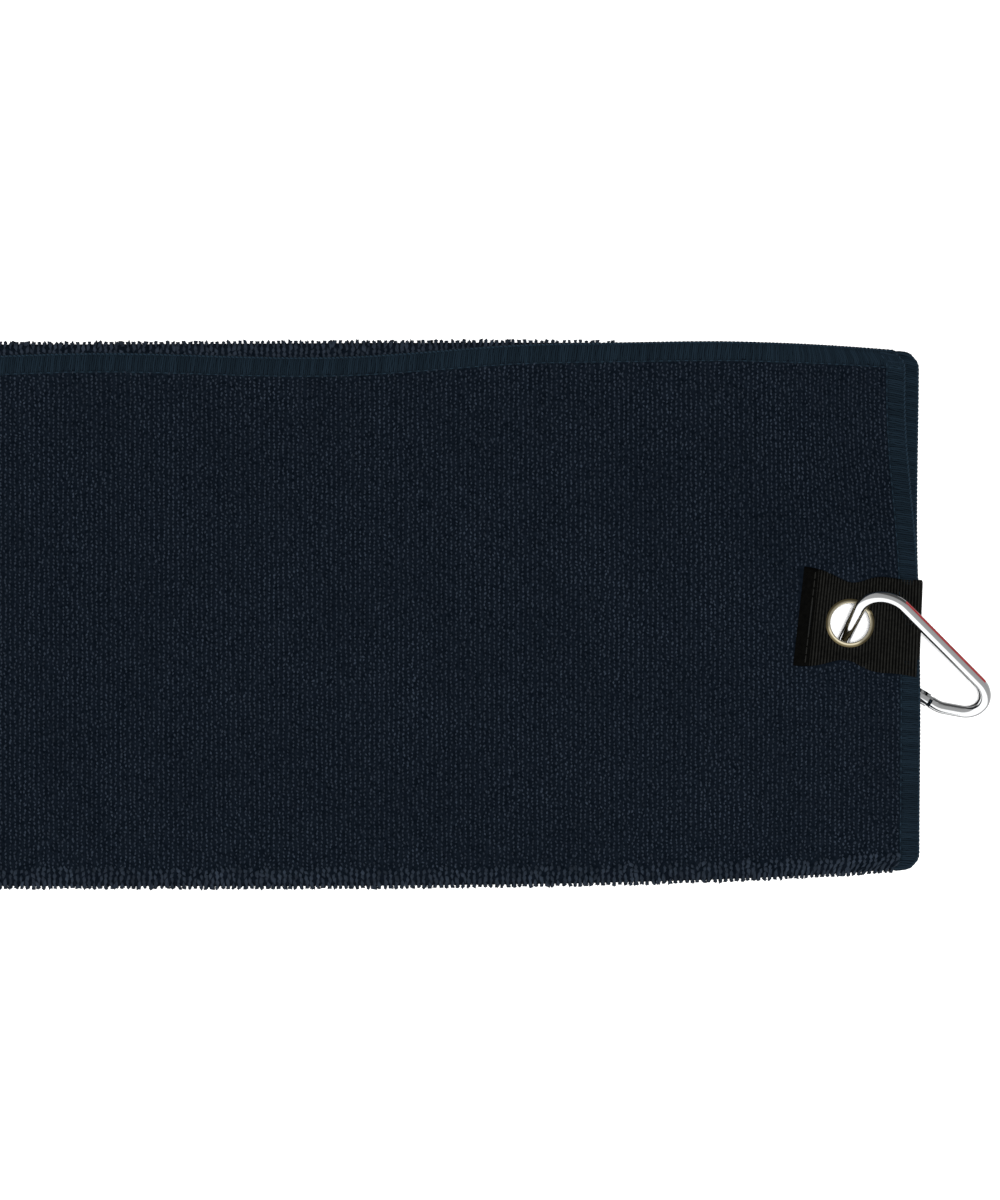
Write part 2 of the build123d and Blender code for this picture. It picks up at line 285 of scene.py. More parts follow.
def place(x, s, n, lowest=FLOOR_GAP):
    """Where a point of the cloth lies. What would sink below lowest is pressed flat there."""
    y, height, out_y, out_z = section(s)
    n = np.where((s > S_UNDER) & (s < S_SMALL_FOLD), np.minimum(n, LAYER / 2 - 0.02), n)
    back = CLIP_END - x
    on_top = s < S_FOLD
    shift = HALF_WIDTH - free_edge_setback(back) - FREE_EDGE_Y
    y = y + np.where(on_top, shift * ease((y - 5) / 60), 0.0)
    y = y + n * out_y
    z = height + n * out_z
    # The end: the top layer creeps back towards the far corner, and each corner is rounded.
    creep = np.where(on_top, CREEP * ease((y - 8) / 50), 0.0)
    corner = CORNER * ease((np.abs(y) - HALF_WIDTH + CORNER_SPAN) / CORNER_SPAN) ** 2
    hollow = HOLLOW * np.exp(-((y - 20) / 26) ** 2)
    x = x - (creep + corner + hollow) * ease(1 - back / END_REACH)
    # The width: a little narrower at the clip end, with slow waves along both folds.
    far_half = HALF_WIDTH + 0.6 - 2.7 * np.exp(-back / 35) + 0.35 * np.sin(back / 55 + 0.4)
    near_half = HALF_WIDTH + 0.5 - 4.6 * np.exp(-back / 60) + 0.3 * np.sin(back / 70)
    y = y * np.where(y > 0, far_half, near_half) / HALF_WIDTH
    unevenness = UNEVEN * cloud(x, y, UNEVEN_SIZE, SEED) * z / LAYER
    z = z + lift(x, y) + np.where(z > LAYER, unevenness, 0.0) * ease(back / 30 - 0.6)
    z = EYE[2] + (z - EYE[2]) * squeeze(x, y)
    return np.stack(np.broadcast_arrays(x, y, np.maximum(z, lowest)), axis=-1)


# ---------------------------------------------------------------- making meshes

def new_object(name, points, quads, materials, shade=None):
    """A mesh object from points in millimetres and rows of four point numbers."""
    mesh = bpy.data.meshes.new(name)
    quads = np.asarray(quads, np.int32)
    mesh.vertices.add(len(points))
    mesh.vertices.foreach_set("co", (np.asarray(points, float) * MM).astype(np.float32).ravel())
    mesh.loops.add(quads.size)
    mesh.loops.foreach_set("vertex_index", quads.ravel())
    mesh.polygons.add(len(quads))
    mesh.polygons.foreach_set("loop_start", np.arange(0, quads.size, 4, dtype=np.int32))
    mesh.update(calc_edges=True)
    for material in materials:
        mesh.materials.append(material)
    if shade is not None:
        mesh.polygons.foreach_set("material_index", np.asarray(shade, np.int32))
    mesh.polygons.foreach_set("use_smooth", np.ones(len(quads), bool))
    made = bpy.data.objects.new(name, mesh)
    bpy.context.scene.collection.objects.link(made)
    return made


def grid_quads(rows, columns, wrap):
    """Quads over a grid of points, rows by columns; wrap joins the last column to the first."""
    last = columns if wrap else columns - 1
    row, column = np.meshgrid(np.arange(rows - 1), np.arange(last), indexing="ij")
    after = (column + 1) % columns
    corners = [
        row * columns + column,
        row * columns + after,
        (row + 1) * columns + after,
        (row + 1) * columns + column,
    ]
    return np.stack(corners, axis=-1).reshape(-1, 4)


def tube(points, radius, reference, sides):
    """A round thread along points. The reference direction never lies along the thread."""
    ahead = np.gradient(points, axis=0)
    ahead /= np.linalg.norm(ahead, axis=1, keepdims=True) + 1e-9
    across = np.cross(ahead, reference)
    across /= np.linalg.norm(across, axis=1, keepdims=True) + 1e-9
    up = np.cross(across, ahead)
    turn = np.linspace(0, 2 * math.pi, sides, endpoint=False)[None, :, None]
    rings = points[:, None] + radius * (np.cos(turn) * across[:, None] + np.sin(turn) * up[:, None])
    return rings.reshape(-1, 3), grid_quads(len(points), sides, wrap=True)


def joined(parts):
    """Several (points, quads) as one."""
    counts = np.cumsum([0] + [len(points) for points, _ in parts])
    points = np.concatenate([points for points, _ in parts])
    quads = np.concatenate([quads + start for (_, quads), start in zip(parts, counts)])
    return points, quads


def cut_hole(piece):
    """Cuts the eyelet's hole through a piece."""
    bpy.ops.mesh.primitive_cylinder_add(
        vertices=48, radius=HOLE_RADIUS * MM, depth=0.04, location=EYE * MM
    )
    cutter = bpy.context.object
    cut = piece.modifiers.new("hole", "BOOLEAN")
    cut.operation = "DIFFERENCE"
    cut.solver = "EXACT"
    cut.object = cutter
    graph = bpy.context.evaluated_depsgraph_get()
    mesh = bpy.data.meshes.new_from_object(piece.evaluated_get(graph))
    piece.modifiers.clear()
    piece.data = mesh
    bpy.data.objects.remove(cutter)


# ---------------------------------------------------------------- materials

def shader(name, **values):
    """A material, and its Principled node with the given inputs."""
    material = bpy.data.materials.new(name)
    material.use_nodes = True
    node = material.node_tree.nodes["Principled BSDF"]
    for key, value in values.items():
        node.inputs[key.replace("_", " ")].default_value = value
    return material, node


def add_node(owner, kind, **values):
    """A node in a material or a world. A value goes to the input of that name, or is a setting."""
    node = owner.node_tree.nodes.new(kind)
    for key, value in values.items():
        socket = key.replace("_", " ")
        if socket in node.inputs:
            node.inputs[socket].default_value = value
        else:
            setattr(node, key, value)
    return node


def link(owner, out_socket, in_socket):
    owner.node_tree.links.new(out_socket, in_socket)


def noise(material, scale, detail=3.0):
    """Noise over the object's own coordinates, which are metres."""
    where = add_node(material, "ShaderNodeTexCoord")
    pattern = add_node(material, "ShaderNodeTexNoise", Scale=scale, Detail=detail)
    link(material, where.outputs["Object"], pattern.inputs["Vector"])
    return pattern.outputs["Fac"]


def ramp(owner, value, stops):
    """Colours between stops of (position, colour), by a value from 0 to 1."""
    node = add_node(owner, "ShaderNodeValToRGB")
    elements = node.color_ramp.elements
    for index, (position, colour) in enumerate(stops):
        element = elements[index] if index < 2 else elements.new(position)
        element.position = position
        element.color = (*colour, 1)
    link(owner, value, node.inputs["Fac"])
    return node.outputs["Color"]


def bump(material, node, height, strength, distance):
    raised = add_node(material, "ShaderNodeBump", Strength=strength, Distance=distance)
    link(material, height, raised.inputs["Height"])
    link(material, raised.outputs["Normal"], node.inputs["Normal"])


def yarn_shades(name, colour, factors):
    """One yarn in several depths of its dye; the overlock's lightest is a painted highlight."""
    made = []
    for index, factor in enumerate(factors):
        tone = [channel * factor for channel in colour]
        material, _ = shader(
            f"{name}_{index + 1}",
            Base_Color=(*tone, 1),
            Roughness=0.85,
            Specular_IOR_Level=0.04,
            Sheen_Weight=0.02,
            Sheen_Roughness=0.5,
            Sheen_Tint=(0.42, 0.62, 0.85, 1),
        )
        made.append(material)
    return made


def ground_painted_shade_material():
    """The knitted ground that the loops stand on, seen only between them: painted shade, far darker
    than the yarn.
    """
    material, node = shader("terry_ground", Roughness=0.95, Specular_IOR_Level=0.03)
    # Painted shade: several times darker than the loops' yarn
    colour = ramp(material, noise(material, 900), [(0.3, (0.0014, 0.0026, 0.0046)),
                                                   (0.7, (0.0038, 0.0060, 0.0098))])
    link(material, colour, node.inputs["Base Color"])
    bump(material, node, noise(material, 1600), 0.5, 0.0003)
    return material


def ribbon_material(name, depth):
    """Black grosgrain, uneven in its weave. Depth scales its colour as painted light: shade in the
    rib's valleys and sides, a highlight on its crests; it also darkens the turned-under end.
    """
    material, node = shader(name, Roughness=0.7, Specular_IOR_Level=0.02)
    dark = tuple(depth * channel for channel in (0.0032, 0.0032, 0.0030))
    light = tuple(depth * channel for channel in (0.0068, 0.0068, 0.0061))
    colour = ramp(material, noise(material, 1300, 4), [(0.3, dark), (0.75, light)])
    link(material, colour, node.inputs["Base Color"])
    bump(material, node, noise(material, 2600, 2), 0.35, 0.0001)
    return material


def metal(name, colour, roughness, spread, grain):
    """Bare metal with faint handling marks in its polish."""
    material, node = shader(name, Base_Color=(*colour, 1), Metallic=1.0)
    value = add_node(
        material, "ShaderNodeMapRange",
        From_Min=0.35, From_Max=0.7, To_Min=roughness, To_Max=roughness + spread,
    )
    link(material, noise(material, grain, 5), value.inputs["Value"])
    link(material, value.outputs["Result"], node.inputs["Roughness"])
    return material


def eyelet_painted_light_material(name, painted_skirt_shade, painted_crest_highlight):
    """Plated brass, with a painted highlight along the eyelet's crest and painted shade below it.
    """
    material, node = shader(name, Metallic=1.0, Roughness=0.12)
    where = add_node(material, "ShaderNodeTexCoord")
    parts = add_node(material, "ShaderNodeSeparateXYZ")
    link(material, where.outputs["Object"], parts.inputs["Vector"])
    # Painted highlight above the crest heights, painted shade below them
    crest_highlight_mask = add_node(
        material, "ShaderNodeMapRange",
        From_Min=(EYE[2] + CREST_FROM) * MM, From_Max=(EYE[2] + CREST_FULL) * MM,
    )
    link(material, parts.outputs["Z"], crest_highlight_mask.inputs["Value"])
    colour = ramp(material, crest_highlight_mask.outputs["Result"], [(0.0, painted_skirt_shade), (1.0, painted_crest_highlight)])
    link(material, colour, node.inputs["Base Color"])
    return material


def enamel_material():
    """Red enamel in the spine's groove, a little uneven at its surface."""
    material, node = shader("red_enamel", Roughness=0.25, Coat_Weight=0.4, Coat_Roughness=0.08)
    colour = ramp(material, noise(material, 700), [(0.3, (0.22, 0.007, 0.010)),
                                                   (0.7, (0.32, 0.012, 0.016))])
    link(material, colour, node.inputs["Base Color"])
    return material


def floor_material():
    material, node = shader("studio_floor", Roughness=0.9, Specular_IOR_Level=0.1)
    colour = ramp(material, noise(material, 3), [(0.3, (0.90, 0.90, 0.90)),
                                                 (0.7, (0.92, 0.92, 0.92))])
    link(material, colour, node.inputs["Base Color"])
    return material


# ---------------------------------------------------------------- the towel

def stations(low, high, coarse, fine, fine_from, fine_to):
    """Places from low to high, closer together between fine_from and fine_to."""
    stretches = [(low, fine_from, coarse), (fine_from, fine_to, fine), (fine_to, high, coarse)]
    places = [low]
    for start, end, step in stretches:
        if end - start > 1e-6:
            count = max(1, math.ceil((end - start) / step))
            places.extend(np.linspace(start, end, count + 1)[1:])
    return np.array(places)


def section_stations():
    """Places along the folded section: close at the folds and round the eyelet."""
    top_eye = FREE_EDGE_Y - EYE[1]
    under_eye = S_UNDER + FOLD_LEFT + EYE[1]
    inner_eye = S_INNER + FOLD_RIGHT - EYE[1]

    def layer(low, high, eye):
        return stations(low, high, COARSE, FINE, eye - FINE_REACH, eye + FINE_REACH)

    pieces = [
        layer(0, S_FOLD, top_eye),
        np.linspace(S_FOLD, S_UNDER, 9)[1:],
        layer(S_UNDER, S_SMALL_FOLD, under_eye)[1:],
        np.linspace(S_SMALL_FOLD, S_INNER, 7)[1:],
        layer(S_INNER, S_END, inner_eye)[1:],
    ]
    return np.concatenate(pieces)


def ground_thickness(x, s):
    """The ground is pressed thinner where the overlock binds it."""
    inside = np.minimum(np.minimum(CLIP_END - x, x - PLAIN_END), np.minimum(s, S_END - s))
    return HEM_GROUND_HALF + (GROUND_HALF - HEM_GROUND_HALF) * ease((inside - HEM + 1) / 1.5)


def make_ground(material):
    """The folded cloth itself, one closed sheet from the top flap's edge to the inner flap's."""
    across = section_stations()
    start, end = PLAIN_END + GROUND_INSET, CLIP_END - GROUND_INSET
    along = stations(start, end, COARSE_ALONG, FINE, EYE[0] - FINE_REACH, end - 0.01)
    x, s = np.meshgrid(along, across, indexing="ij")
    half = ground_thickness(x, s)
    outside = place(x, s, half)
    inside = place(x, s, -half)[:, ::-1]
    rings = np.concatenate([outside, inside], axis=1)
    rows, columns = rings.shape[:2]
    quads = grid_quads(rows, columns, wrap=True)[:, ::-1]
    count = len(across)
    step = np.arange(count - 1)
    cap = np.stack([step, step + 1, columns - 2 - step, columns - 1 - step], axis=-1)
    far_cap = cap[:, ::-1] + (rows - 1) * columns
    points = rings.reshape(-1, 3)
    ground = new_object("terry_ground", points, np.concatenate([quads, cap, far_cap]), [material])
    cut_hole(ground)
    return ground


def in_tab(x, y, margin):
    """Whether a place lies under the ribbon tab, or within margin of it."""
    along = x - EYE[0]
    across = np.abs(y - EYE[1] - tab_middle(along))
    return (along > RIBBON_BACK - margin) & (across < tab_half(along) + margin)


def loop_places(columns, pitch, s_from, s_to, draw):
    """Rows of loops in columns that run across the towel, each column with its own start."""
    x = np.arange(PLAIN_END + HEM + 0.5, CLIP_END - HEM - 0.2, columns)
    s = np.arange(s_from, s_to, pitch)
    x, s = np.meshgrid(x, s, indexing="ij")
    offset = draw.uniform(0, pitch, (len(x), 1))
    x = x + draw.normal(0, PLACE_JITTER, x.shape)
    s = s + offset + draw.normal(0, PLACE_JITTER, s.shape)
    keep = s < s_to
    return x[keep], s[keep]


# One loop of yarn, as places along it: across the column, along it and up out of the cloth.
LOOP_LINE = np.array([(0.0, -0.20, 0.0), (0.0, -0.11, 0.62), (0.0, 0.11, 0.72), (0.0, 0.20, 0.0)])
LOOP_WIDTH = np.array([0.20, 0.29, 0.29, 0.20])
LOOP_SIDES = 3


def loop_template():
    """The points of one loop: a bent tube with three sides."""
    ahead = np.gradient(LOOP_LINE, axis=0)
    ahead /= np.linalg.norm(ahead, axis=1, keepdims=True)
    across = np.tile((1.0, 0.0, 0.0), (len(LOOP_LINE), 1))
    up = np.cross(across, ahead)
    turn = np.linspace(0, 2 * math.pi, LOOP_SIDES, endpoint=False) + math.pi / 2
    ring = LOOP_LINE[:, None] + LOOP_WIDTH[:, None, None] * (
        np.cos(turn)[None, :, None] * across[:, None] + np.sin(turn)[None, :, None] * up[:, None]
    )
    return ring.reshape(-1, 3), grid_quads(len(LOOP_LINE), LOOP_SIDES, wrap=True)


def make_loops(name, x, s, kind, materials, draw):
    """The pile: one bent tube for each loop, split into pieces from end to end of the towel."""
    size, tall, spread = kind
    template, quads = loop_template()
    order = np.argsort(x, kind="stable")
    x, s = x[order], s[order]
    yaw = draw.normal(0, spread, len(x))
    scale = size * draw.uniform(0.82, 1.2, len(x))
    height = tall * draw.uniform(0.8, 1.2, len(x))
    lean = draw.normal(0, 0.4 * spread, (2, len(x)))
    patches = 0.5 * cloud(x, s, 30, SEED + 1) + 0.4 * cloud(x, s, 8, SEED + 2)
    tone = patches + draw.normal(0, 0.8, len(x))
    shade = np.digitize(tone, TONE_LIMITS)
    pieces = []
    count = math.ceil(len(x) / LOOPS_PER_PIECE)
    across, ahead, out = template.T
    for index, chosen in enumerate(np.array_split(np.arange(len(x)), count)):
        cosine, sine = np.cos(yaw[chosen])[:, None], np.sin(yaw[chosen])[:, None]
        grow = scale[chosen][:, None]
        up = out * height[chosen][:, None]
        dx = (across * cosine - ahead * sine) * grow + lean[0, chosen][:, None] * up
        ds = (across * sine + ahead * cosine) * grow + lean[1, chosen][:, None] * up
        points = place(x[chosen][:, None] + dx, s[chosen][:, None] + ds, LOOP_ROOT + up)
        faces = quads[None] + (np.arange(len(chosen)) * len(template))[:, None, None]
        tones = np.repeat(shade[chosen], len(quads))
        points, faces = points.reshape(-1, 3), faces.reshape(-1, 4)
        pieces.append(new_object(f"{name}_{index + 1}", points, faces, materials, tones))
    return pieces


def beside_flap(where, far):
    """Whether a place is bare: under the flap, within far of its edge, or in the strip beside it,
    where the bare dark ground shows as a painted shadow."""
    x, y = where[:, 0], where[:, 1]
    edge = HALF_WIDTH - free_edge_setback(CLIP_END - x)
    return (y > edge - far) & (y < edge + PAINTED_SHADOW_STRIP)


def make_pile(materials):
    """Loops over every face that can be seen: the top flap, both folds and the underside."""
    draw = np.random.default_rng(SEED)
    x, s = loop_places(COLUMN_PITCH, LOOP_PITCH, HEM + 0.2, S_FOLD - 2, draw)
    where = place(x, s, np.zeros(x.shape))
    away = np.hypot(where[:, 0] - EYE[0], where[:, 1] - EYE[1])
    bare = in_tab(where[:, 0], where[:, 1], TAB_CLEAR) | (away < GROMMET_RADIUS)
    pieces = make_loops("terry_loops_top", x[~bare], s[~bare], TOP_LOOP, materials, draw)
    x, s = loop_places(FOLD_COLUMN_PITCH, FOLD_LOOP_PITCH, S_FOLD - 2, S_UNDER, draw)
    pieces += make_loops("terry_loops_near_fold", x, s, FOLD_LOOP, materials, draw)
    x, s = loop_places(FOLD_COLUMN_PITCH, FOLD_LOOP_PITCH, S_SMALL_FOLD, S_INNER + 9, draw)
    # Loops are left out beside the flap's edge so the dark ground shows as a painted shadow
    bare = beside_flap(place(x, s, np.zeros(x.shape)), UNDER_FLAP)
    pieces += make_loops("terry_loops_far_fold", x[~bare], s[~bare], FOLD_LOOP, materials, draw)
    x, s = loop_places(UNDER_COLUMN_PITCH, UNDER_LOOP_PITCH, S_UNDER, S_SMALL_FOLD, draw)
    where = place(x, s, np.zeros(x.shape))
    bare = in_tab(where[:, 0], where[:, 1], TAB_CLEAR)
    pieces += make_loops("terry_loops_under", x[~bare], s[~bare], UNDER_LOOP, materials, draw)
    return pieces


# ---------------------------------------------------------------- the overlocked edges

# One pass of the thread round the edge: in from the edge, along it in pitches, and out of the
# cloth in lifts. It wraps the edge and comes back up through the needle line.
WRAP = np.array([
    (4.1, 0.00, 0.9),
    (3.2, 0.04, 1.2),
    (1.9, 0.10, 1.2),
    (0.6, 0.18, 1.05),
    (-0.12, 0.26, 0.6),
    (-0.32, 0.34, 0.0),
    (-0.12, 0.42, -0.6),
    (0.6, 0.52, -1.1),
    (2.2, 0.76, -1.2),
    (4.0, 1.00, -1.0),
])
TUBE_SIDES = 5
PURL_SIDES = 4


def overlock(name, start, end, edge_place, along_axis, materials, draw):
    """The threads that bind one edge from start to end. edge_place(inward, along, out) is a
    function that gives places, and along_axis the direction that the edge runs in, at places."""
    count = int((end - start) / STITCH_PITCH)
    pitch = (end - start) / count
    # The last shade is a painted highlight; the strands' random tones stay below it
    painted_highlight_tone = len(materials) - 1
    parts = []
    shades = []
    for strand in range(STRANDS):
        number = np.arange(count)[:, None]
        inward = WRAP[:, 0] + draw.normal(0, 0.3, (count, 1)) * (WRAP[:, 0] > 3)
        along = start + (number + strand / STRANDS + WRAP[:, 1]) * pitch
        along = np.clip(along + draw.normal(0, 0.05, along.shape), start, end)
        out = WRAP[:, 2] * THREAD_LIFT * draw.uniform(0.9, 1.12, (count, 1))
        path = edge_place(inward.ravel(), along.ravel(), out.ravel())
        parts.append(tube(path, THREAD, along_axis(along.ravel()), TUBE_SIDES))
        tones = draw.integers(0, painted_highlight_tone, count)
        shades.append(np.repeat(tones, len(WRAP) * TUBE_SIDES))
    samples = np.arange(start, end, pitch / 8)
    phase = 2 * math.pi * (samples - start) / pitch
    for turn in (0.0, math.pi):
        inward = -0.28 + 0.16 * np.sin(phase + turn)
        path = edge_place(inward, samples, 0.32 * np.cos(phase + turn))
        parts.append(tube(path, PURL_THREAD, UP, PURL_SIDES))
        # Painted highlight where the purl thread runs on top, painted shade (the darkest tone)
        # under it
        tones = np.where(np.cos(phase + turn) > 0, painted_highlight_tone, 0)
        shades.append(np.repeat(tones, PURL_SIDES))
    inward = np.full(samples.shape, NEEDLE_LINE)
    rise = np.abs(np.sin(phase / 2))
    path = edge_place(inward, samples, THREAD_LIFT * (1.0 + 0.5 * rise))
    parts.append(tube(path, NEEDLE_THREAD, UP, PURL_SIDES))
    # Painted highlight where the needle thread rises highest
    shades.append(np.repeat(np.where(rise > 0.85, painted_highlight_tone, 1), PURL_SIDES))
    points, quads = joined(parts)
    shade = np.concatenate([tone[: len(part[1])] for tone, part in zip(shades, parts)])
    return new_object(name, points, quads, materials, shade)


def section_heading(s):
    """Which way the folded section runs at each place."""
    _, _, out_y, out_z = section(s)
    return np.stack([np.zeros(out_y.shape), -out_z, out_y], axis=-1)


def lengthwise(along):
    """Which way the towel's long edges run."""
    return np.array((1.0, 0.0, 0.0))


def top_flap_edge(inward, along, out):
    return place(along, inward, out, lowest=THREAD)


def inner_flap_edge(inward, along, out):
    return place(along, S_END - inward, out, lowest=THREAD)


def clip_end_edge(inward, along, out):
    return place(CLIP_END - THREAD - inward, along, out, lowest=THREAD)


def plain_end_edge(inward, along, out):
    return place(PLAIN_END + THREAD + inward, along, out, lowest=THREAD)


def make_overlocks(materials):
    draw = np.random.default_rng(SEED + 10)
    long_edge = (PLAIN_END + 0.4, CLIP_END - 0.4)
    short_edge = (0.3, S_END - 0.3)
    edges = {
        "top_flap": (*long_edge, top_flap_edge, lengthwise),
        "inner_flap": (*long_edge, inner_flap_edge, lengthwise),
        "clip_end": (*short_edge, clip_end_edge, section_heading),
        "plain_end": (*short_edge, plain_end_edge, section_heading),
    }
    return {
        f"overlock_{name}": overlock(f"overlock_thread_{name}", *edge, materials, draw)
        for name, edge in edges.items()
    }


# ---------------------------------------------------------------- the ribbon tab

def tab_middle(along):
    """The tab lies a few degrees off square."""
    return 0.4 - 0.105 * along


def tab_half(along):
    """Half its width: drawn in at the eyelet."""
    return RIBBON_HALF - RIBBON_WAIST * np.exp(-((along / 5.0) ** 2))


def tab_line():
    """The strap's middle line as (along, up) places: over the top, round the edge and back."""
    level = RIBBON_OUT - RIBBON / 2
    bend = 1.35
    reach = CLIP_END - EYE[0] + 0.15
    step = RIB_PITCH / 6
    leg = np.arange(RIBBON_BACK, reach - bend, step)
    turn = np.linspace(math.pi / 2, 0, 17)
    corner = np.stack([reach - bend + bend * np.cos(turn), level - bend + bend * np.sin(turn)], -1)
    upright = np.arange(level - bend - step, 0, -step)
    over = np.concatenate(
        [np.stack([leg, np.full(leg.shape, level)], -1), corner,
         np.stack([np.full(upright.shape, reach), upright], -1)]
    )
    return np.concatenate([over, over[::-1] * (1, -1)])


def make_ribbon(materials):
    """The grosgrain tab, as a strip with two faces, ribs across it and a turned-under end."""
    line = tab_line()
    run = np.concatenate([[0], np.cumsum(np.linalg.norm(np.diff(line, axis=0), axis=1))])
    heading = np.gradient(line, axis=0)
    heading /= np.linalg.norm(heading, axis=1, keepdims=True)
    out = np.stack([-heading[:, 1], heading[:, 0]], -1)
    from_end = np.minimum(run, run[-1] - run)
    band = 1 - ease((from_end - BAND) / 0.4)
    rounded = 2 * np.abs(np.cos(math.pi * run / RIB_PITCH)) - 1
    ribs = RIB_DEPTH * (1 - 0.8 * band) * rounded
    thick = RIBBON / 2 + BAND_THICKER * band
    across = np.linspace(-1, 1, 45)
    side = 1 - 0.7 * ease((np.abs(across) - 0.95) / 0.05)
    faces = []
    for face in (1, -1):
        offset = face * thick[:, None] * side[None] + ribs[:, None] * side[None]
        along = line[:, 0:1] + out[:, 0:1] * offset
        up = line[:, 1:2] + out[:, 1:2] * offset
        half = tab_half(line[:, 0])[:, None]
        front_share = (line[:, 0:1] - RIBBON_BACK) / SLANT_RUN
        slant = SLANT_BACK + (SLANT_FRONT - SLANT_BACK) * front_share
        x = EYE[0] + along + slant * across * half
        sway = 0.25 * np.sin(along / 2.6) * np.abs(across) ** 3
        y = EYE[1] + tab_middle(along) + across * (half + sway)
        away = np.hypot(x - EYE[0], y - EYE[1])
        seat = RIBBON_SEAT / RIBBON_OUT
        dish = seat + (1 - seat) * ease((away - DISH_RADIUS) / DISH_FADE)
        dish = np.where(along > CLIP_END - EYE[0] - 2.5, 1.0, dish)
        crease = CREASE * np.sin(y / 1.9 + along / 3.0) * ease((away - 7) / 3)
        crease = crease * (1 - band[:, None])
        z = EYE[2] + up * dish + crease * np.sign(up) * ease(np.abs(up) - 1)
        faces.append(np.stack([x, y, z], -1))
    rings = np.concatenate([faces[0], faces[1][:, ::-1]], axis=1)
    rows, columns = rings.shape[:2]
    quads = grid_quads(rows, columns, wrap=True)
    step = np.arange(columns // 2 - 1)
    cap = np.stack([step, step + 1, columns - 2 - step, columns - 1 - step], -1)
    ends = np.concatenate([cap[:, ::-1], cap + (rows - 1) * columns])
    faces = np.concatenate([quads, ends])
    crest = (rounded[:-1] + rounded[1:]) / 2
    # Painted shade in the rib valleys and sides, painted highlight on the crests; the end is darker
    shade = np.where(band[:-1] > 0.5, 3, np.digitize(crest, [-0.1, 0.55]))
    shade = np.concatenate([np.repeat(shade, columns), np.full(len(ends), 3)])
    ribbon = new_object("ribbon_strip", rings.reshape(-1, 3), faces, materials, shade)
    cut_hole(ribbon)
    return ribbon


def make_tab_stitches(material):
    """Short stitches that hold the turned-under ends, on both legs."""
    parts = []
    along = RIBBON_BACK + TAB_STITCH_INSET
    half = tab_half(np.array(along))
    sample = np.linspace(-TAB_STITCH_HALF, TAB_STITCH_HALF, 7)
    rise = RIBBON_OUT + 0.16 - 0.25 * (sample / TAB_STITCH_HALF) ** 4
    for side in (1, -1):
        for number in range(TAB_STITCHES):
            across = (number - (TAB_STITCHES - 1) / 2) / (TAB_STITCHES / 2) * 0.95
            reach = across * half + sample * 2 * half / TAB_STITCHES * 1.3
            x = EYE[0] + along + SLANT_BACK * reach
            y = EYE[1] + tab_middle(along) + reach
            path = np.stack([x, y, EYE[2] + side * rise], -1)
            parts.append(tube(path, TAB_THREAD, UP, 6))
    points, quads = joined(parts)
    return new_object("ribbon_thread_stitches", points, quads, [material])


# ---------------------------------------------------------------- stage, light and camera

def make_stage():
    bpy.ops.mesh.primitive_plane_add(size=FLOOR_SIZE, location=(0, 0, -FLOOR_DROP))
    floor = bpy.context.object
    floor.name = "studio_floor"
    floor.data.materials.append(floor_material())
    # The metal reflects the studio below the horizon in place of the white floor.
    floor.visible_glossy = False


def studio_shades(world, heading, side, shades):
    """Grey levels that change from one side of the studio to the other."""
    along = add_node(world, "ShaderNodeVectorMath", operation="DOT_PRODUCT")
    link(world, heading, along.inputs[0])
    along.inputs[1].default_value = side
    place_between = add_node(world, "ShaderNodeMapRange", From_Min=-1.0, From_Max=1.0)
    link(world, along.outputs["Value"], place_between.inputs["Value"])
    stops = [(at, (level,) * 3) for at, level in shades]
    return ramp(world, place_between.outputs["Result"], stops)


def make_world():
    """Studio surroundings for the metal to reflect: white on the near side and grey to dark on the
    far side, and well below the horizon dark on the towel's side and grey on the other."""
    world = bpy.data.worlds.new("studio")
    bpy.context.scene.world = world
    world.use_nodes = True
    heading = add_node(world, "ShaderNodeTexCoord").outputs["Generated"]
    parts = add_node(world, "ShaderNodeSeparateXYZ")
    link(world, heading, parts.inputs["Vector"])
    height = add_node(
        world, "ShaderNodeMapRange", From_Min=GROUND_BELOW[0], From_Max=GROUND_BELOW[1]
    )
    link(world, parts.outputs["Z"], height.inputs["Value"])
    mix = add_node(world, "ShaderNodeMixRGB")
    link(world, height.outputs["Result"], mix.inputs["Fac"])
    link(world, studio_shades(world, heading, GROUND_SIDE, GROUND_SHADES), mix.inputs["Color1"])
    link(world, studio_shades(world, heading, SKY_SIDE, SKY_SHADES), mix.inputs["Color2"])
    background = world.node_tree.nodes["Background"]
    background.inputs["Strength"].default_value = SKY_STRENGTH
    link(world, mix.outputs["Color"], background.inputs["Color"])


def make_overhead_light():
    """A light straight above, which reaches through the eyelet and casts no long shadow. The metal
    doesn't mirror it, and shows the studio alone."""
    lamp = bpy.data.lights.new("overhead", "SUN")
    lamp.energy = OVERHEAD_POWER
    lamp.angle = math.radians(OVERHEAD_WIDTH)
    light = bpy.data.objects.new("overhead", lamp)
    light.location = (0, 0, CAMERA_UP)
    light.visible_glossy = False
    bpy.context.scene.collection.objects.link(light)


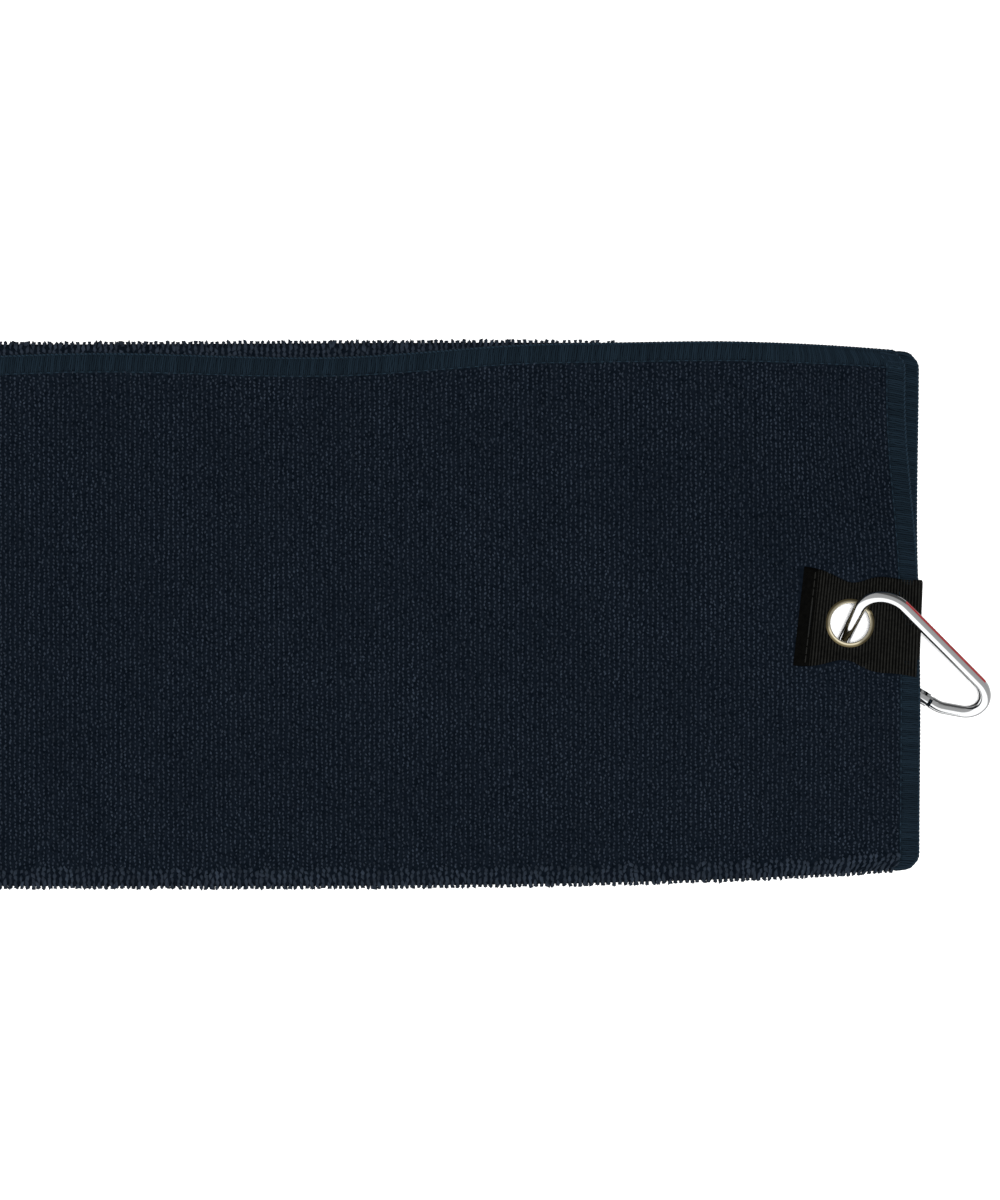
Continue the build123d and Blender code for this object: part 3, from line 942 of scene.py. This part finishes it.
def make_camera():
    lens = bpy.data.cameras.new("camera")
    lens.sensor_fit = "AUTO"
    lens.sensor_width = SENSOR
    subject = CAMERA_UP - EYE[2] * MM
    lens.lens = SENSOR * subject / VIEW_HEIGHT
    camera = bpy.data.objects.new("camera", lens)
    camera.location = (VIEW_CENTRE[0] * MM, VIEW_CENTRE[1] * MM, CAMERA_UP)
    bpy.context.scene.collection.objects.link(camera)
    bpy.context.scene.camera = camera


def dress_cad(names, material):
    for name in names:
        node = frame["nodes"][name]
        node.data.materials.clear()
        node.data.materials.append(material)


def main():
    make_camera()
    make_stage()
    make_world()
    make_overhead_light()

    terry = yarn_shades("terry_yarn", (0.0125, 0.0172, 0.0250), (0.68, 0.85, 1.0, 1.15, 1.4))
    # The last overlock shade, twice as light, is a painted highlight on raised thread
    binding = yarn_shades("overlock_yarn", (0.0048, 0.0094, 0.0145), (0.85, 1.0, 1.2, 2.0))
    # Grosgrain colours: painted shade and painted highlight across the ribs, and the darker end
    grosgrain_painted_light_and_end = [
        ribbon_material("grosgrain_valley_painted_shade", 0.25),
        ribbon_material("grosgrain_side_painted_shade", 0.75),
        ribbon_material("grosgrain_crest_painted_highlight", 1.9),
        ribbon_material("grosgrain_end", 0.27),
    ]
    thread_black = yarn_shades("tab_thread", (0.011, 0.011, 0.010), (1.0,))[0]

    ground = make_ground(ground_painted_shade_material())
    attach(ground, "towel")
    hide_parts("towel_cloth")
    loops = make_pile(terry)
    for piece in loops:
        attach(piece, "towel")
    threads = make_overlocks(binding)
    for node, piece in threads.items():
        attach(piece, "towel")
        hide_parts(node)
    ribbon = make_ribbon(grosgrain_painted_light_and_end)
    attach(ribbon, "towel")
    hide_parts("ribbon_tab")
    stitches = make_tab_stitches(thread_black)
    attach(stitches, "towel")
    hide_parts("ribbon_stitches")

    # The eyelet's colour is painted light: shade on the skirt, a highlight along the crest
    plating = eyelet_painted_light_material("eyelet_painted_crest_highlight", (0.15, 0.122, 0.062), (0.78, 0.70, 0.50))
    aluminium = metal("polished_aluminium", (0.88, 0.89, 0.90), 0.09, 0.05, 260)
    dress_cad(["grommet", "grommet_washer"], plating)
    dress_cad(["carabiner_frame", "gate_sleeve"], aluminium)
    pin_steel = metal("pin_steel", (0.5, 0.5, 0.51), 0.2, 0.15, 900)
    dress_cad(["gate_pivot_pin", "gate_latch_pin"], pin_steel)
    dress_cad(["gate_spring"], metal("spring_steel", (0.42, 0.42, 0.44), 0.25, 0.15, 1200))
    dress_cad(["gate_plunger"], metal("plunger_brass", (0.75, 0.58, 0.28), 0.2, 0.15, 900))
    dress_cad(["spine_stripe"], enamel_material())

    bpy.context.scene.view_settings.view_transform = "Standard"


main()
